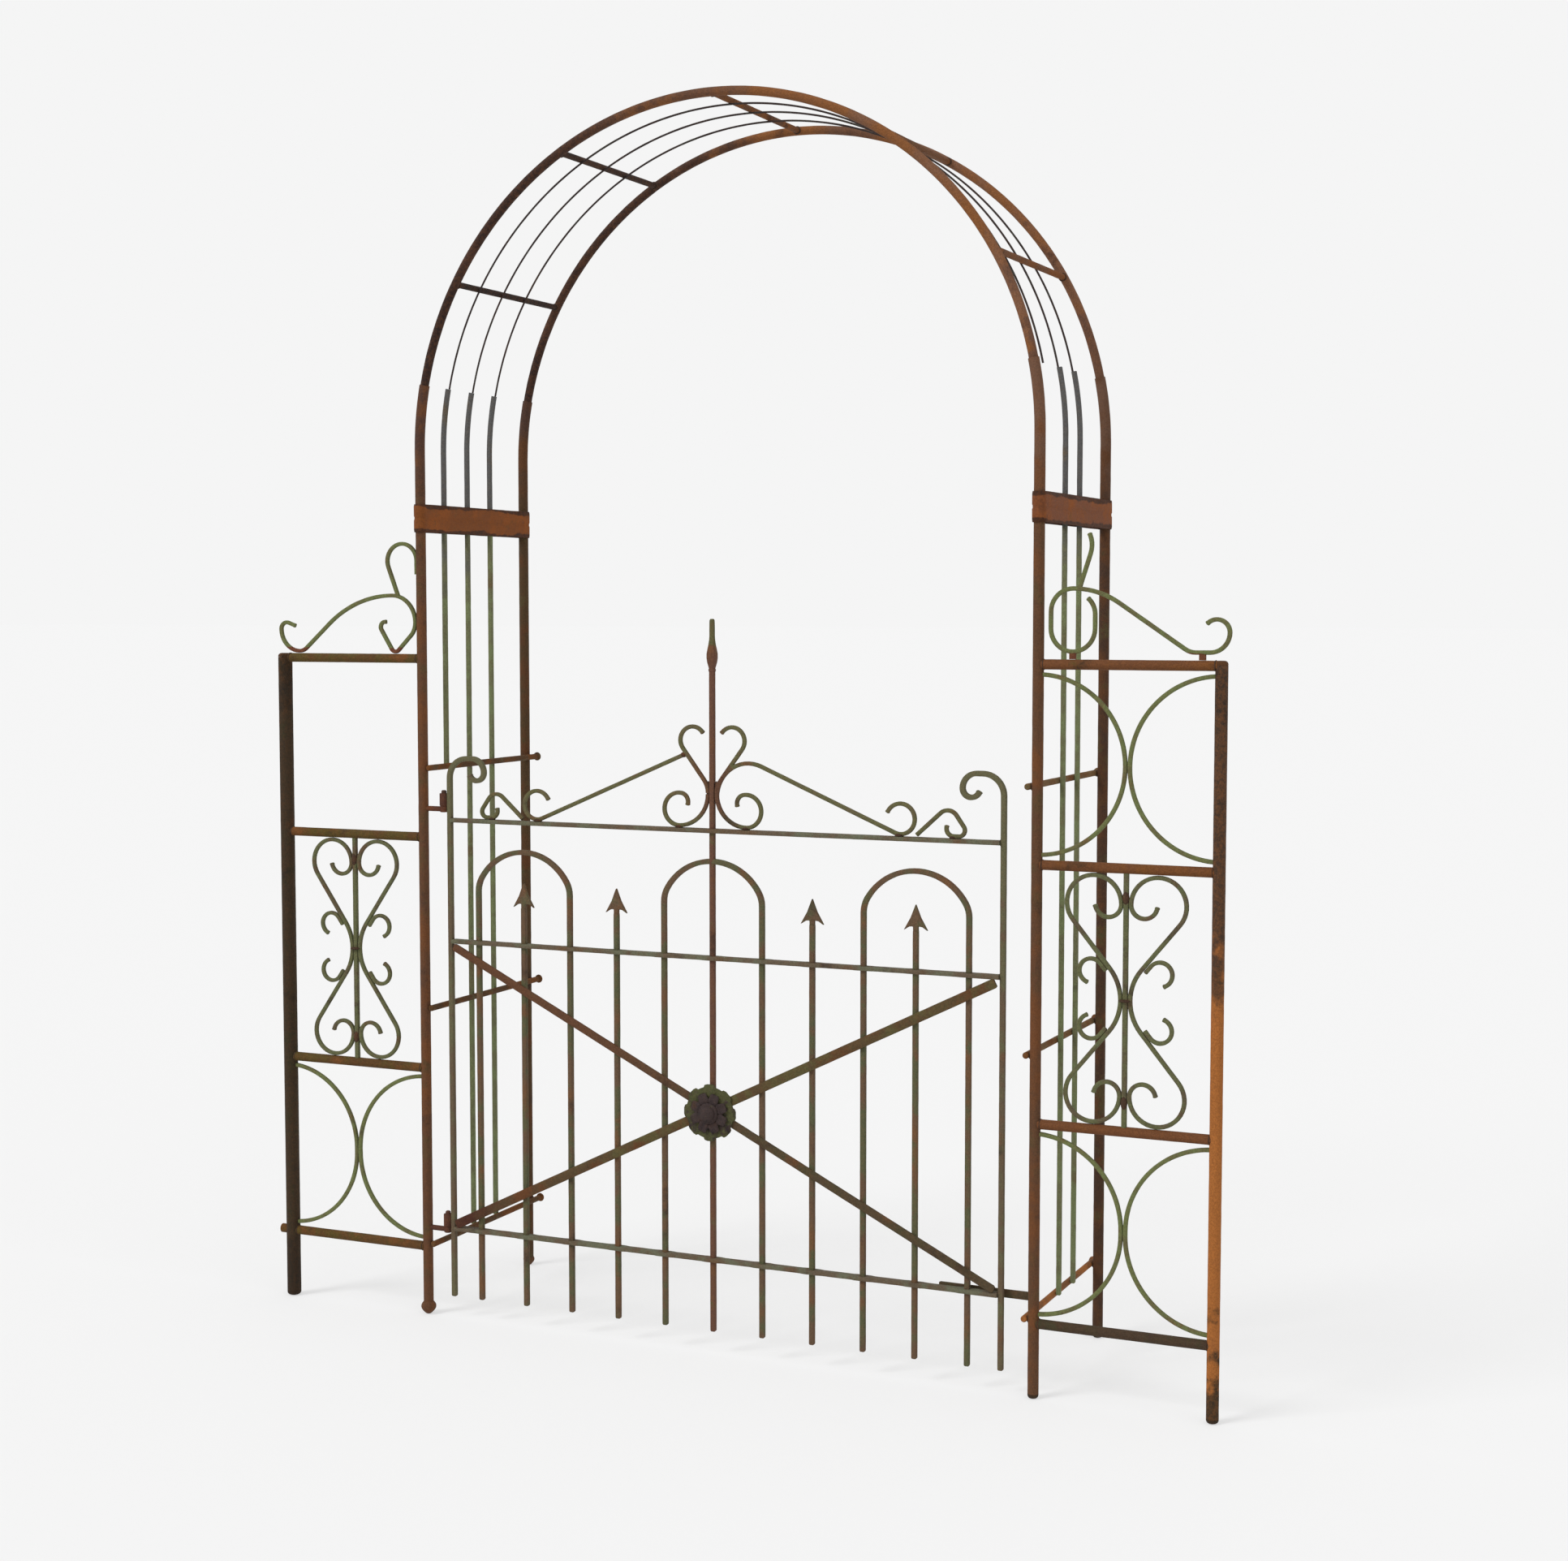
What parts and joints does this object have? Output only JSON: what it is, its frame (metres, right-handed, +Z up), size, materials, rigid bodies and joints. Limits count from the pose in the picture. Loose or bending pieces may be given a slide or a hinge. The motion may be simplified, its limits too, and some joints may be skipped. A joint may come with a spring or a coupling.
{
  "type": "garden arch with gate",
  "caption": "Rusted iron garden arch on round legs with trellis sides, scrolled side wings and a hinged gate with spears, braces and a rosette.",
  "frame": {"origin": "on the ground, halfway between the legs in width and in depth", "axes": "+X to the right as seen from the front, +Y to the back through the arch, +Z up"},
  "size_m": [1.919, 0.45, 2.3044],
  "materials": {
    "tube_iron": "rusted and pitted, orange to near-black brown",
    "foot_iron": "dull, olive-grey with brown",
    "wire_iron": "dull, green-grey to dark grey with brown",
    "band_iron": "rusted orange-brown with dark edges",
    "scroll_iron": "weathered olive-grey over brown rust",
    "hinge_iron": "olive-brown, worn",
    "gate_iron": "rusted red-brown with dark patches",
    "rosette_iron": "dark purple-brown with a green tinge at the rim"
  },
  "bodies": {
    "arch": {"left_front_leg": "tube_iron", "left_back_leg": "tube_iron", "right_front_leg": "tube_iron", "right_back_leg": "tube_iron", "front_hoop": "tube_iron", "back_hoop": "tube_iron", "arch_rungs": "tube_iron", "left_upper_rung": "tube_iron", "left_middle_rung": "tube_iron", "left_lower_rung": "tube_iron", "right_upper_rung": "tube_iron", "right_middle_rung": "tube_iron", "right_lower_rung": "tube_iron", "left_wing_top_rail": "tube_iron", "left_wing_upper_rail": "tube_iron", "left_wing_lower_rail": "tube_iron", "left_wing_bottom_rail": "tube_iron", "right_wing_top_rail": "tube_iron", "right_wing_upper_rail": "tube_iron", "right_wing_lower_rail": "tube_iron", "right_wing_bottom_rail": "tube_iron", "left_wing_post": "tube_iron", "right_wing_post": "tube_iron", "left_wing_rod": "tube_iron", "right_wing_rod": "tube_iron", "ball_feet": "foot_iron", "tube_plugs": "foot_iron", "front_arch_wire": "wire_iron", "middle_arch_wire": "wire_iron", "back_arch_wire": "wire_iron", "left_front_trellis_rod": "wire_iron", "left_middle_trellis_rod": "wire_iron", "left_back_trellis_rod": "wire_iron", "right_middle_trellis_rod": "wire_iron", "right_back_trellis_rod": "wire_iron", "left_band": "band_iron", "right_band": "band_iron", "left_wing_scrolls": "scroll_iron", "right_wing_scrolls": "scroll_iron", "left_wing_crest": "scroll_iron", "right_wing_crest": "scroll_iron", "left_wing_arcs": "scroll_iron", "right_wing_arcs": "scroll_iron", "hinge_pintles": "hinge_iron"},
    "gate": {"hinge_stile": "gate_iron", "latch_stile": "gate_iron", "gate_top_rail": "gate_iron", "gate_middle_rail": "gate_iron", "gate_bottom_rail": "gate_iron", "left_gate_hoop": "gate_iron", "centre_gate_hoop": "gate_iron", "right_gate_hoop": "gate_iron", "gate_spears": "gate_iron", "gate_centre_bar": "gate_iron", "rising_brace": "gate_iron", "falling_brace": "gate_iron", "gate_rosette": "rosette_iron", "gate_crest": "scroll_iron", "hinge_eyes": "hinge_iron", "gate_stop_bar": "hinge_iron"}
  },
  "joints": [
    {"name": "gate_hinge", "type": "hinge", "parent": "arch", "child": "gate", "pos_m": [-0.57355, -0.193, 0.6], "axis": [0, 0, 1], "range_deg": [0, 90]}
  ]
}
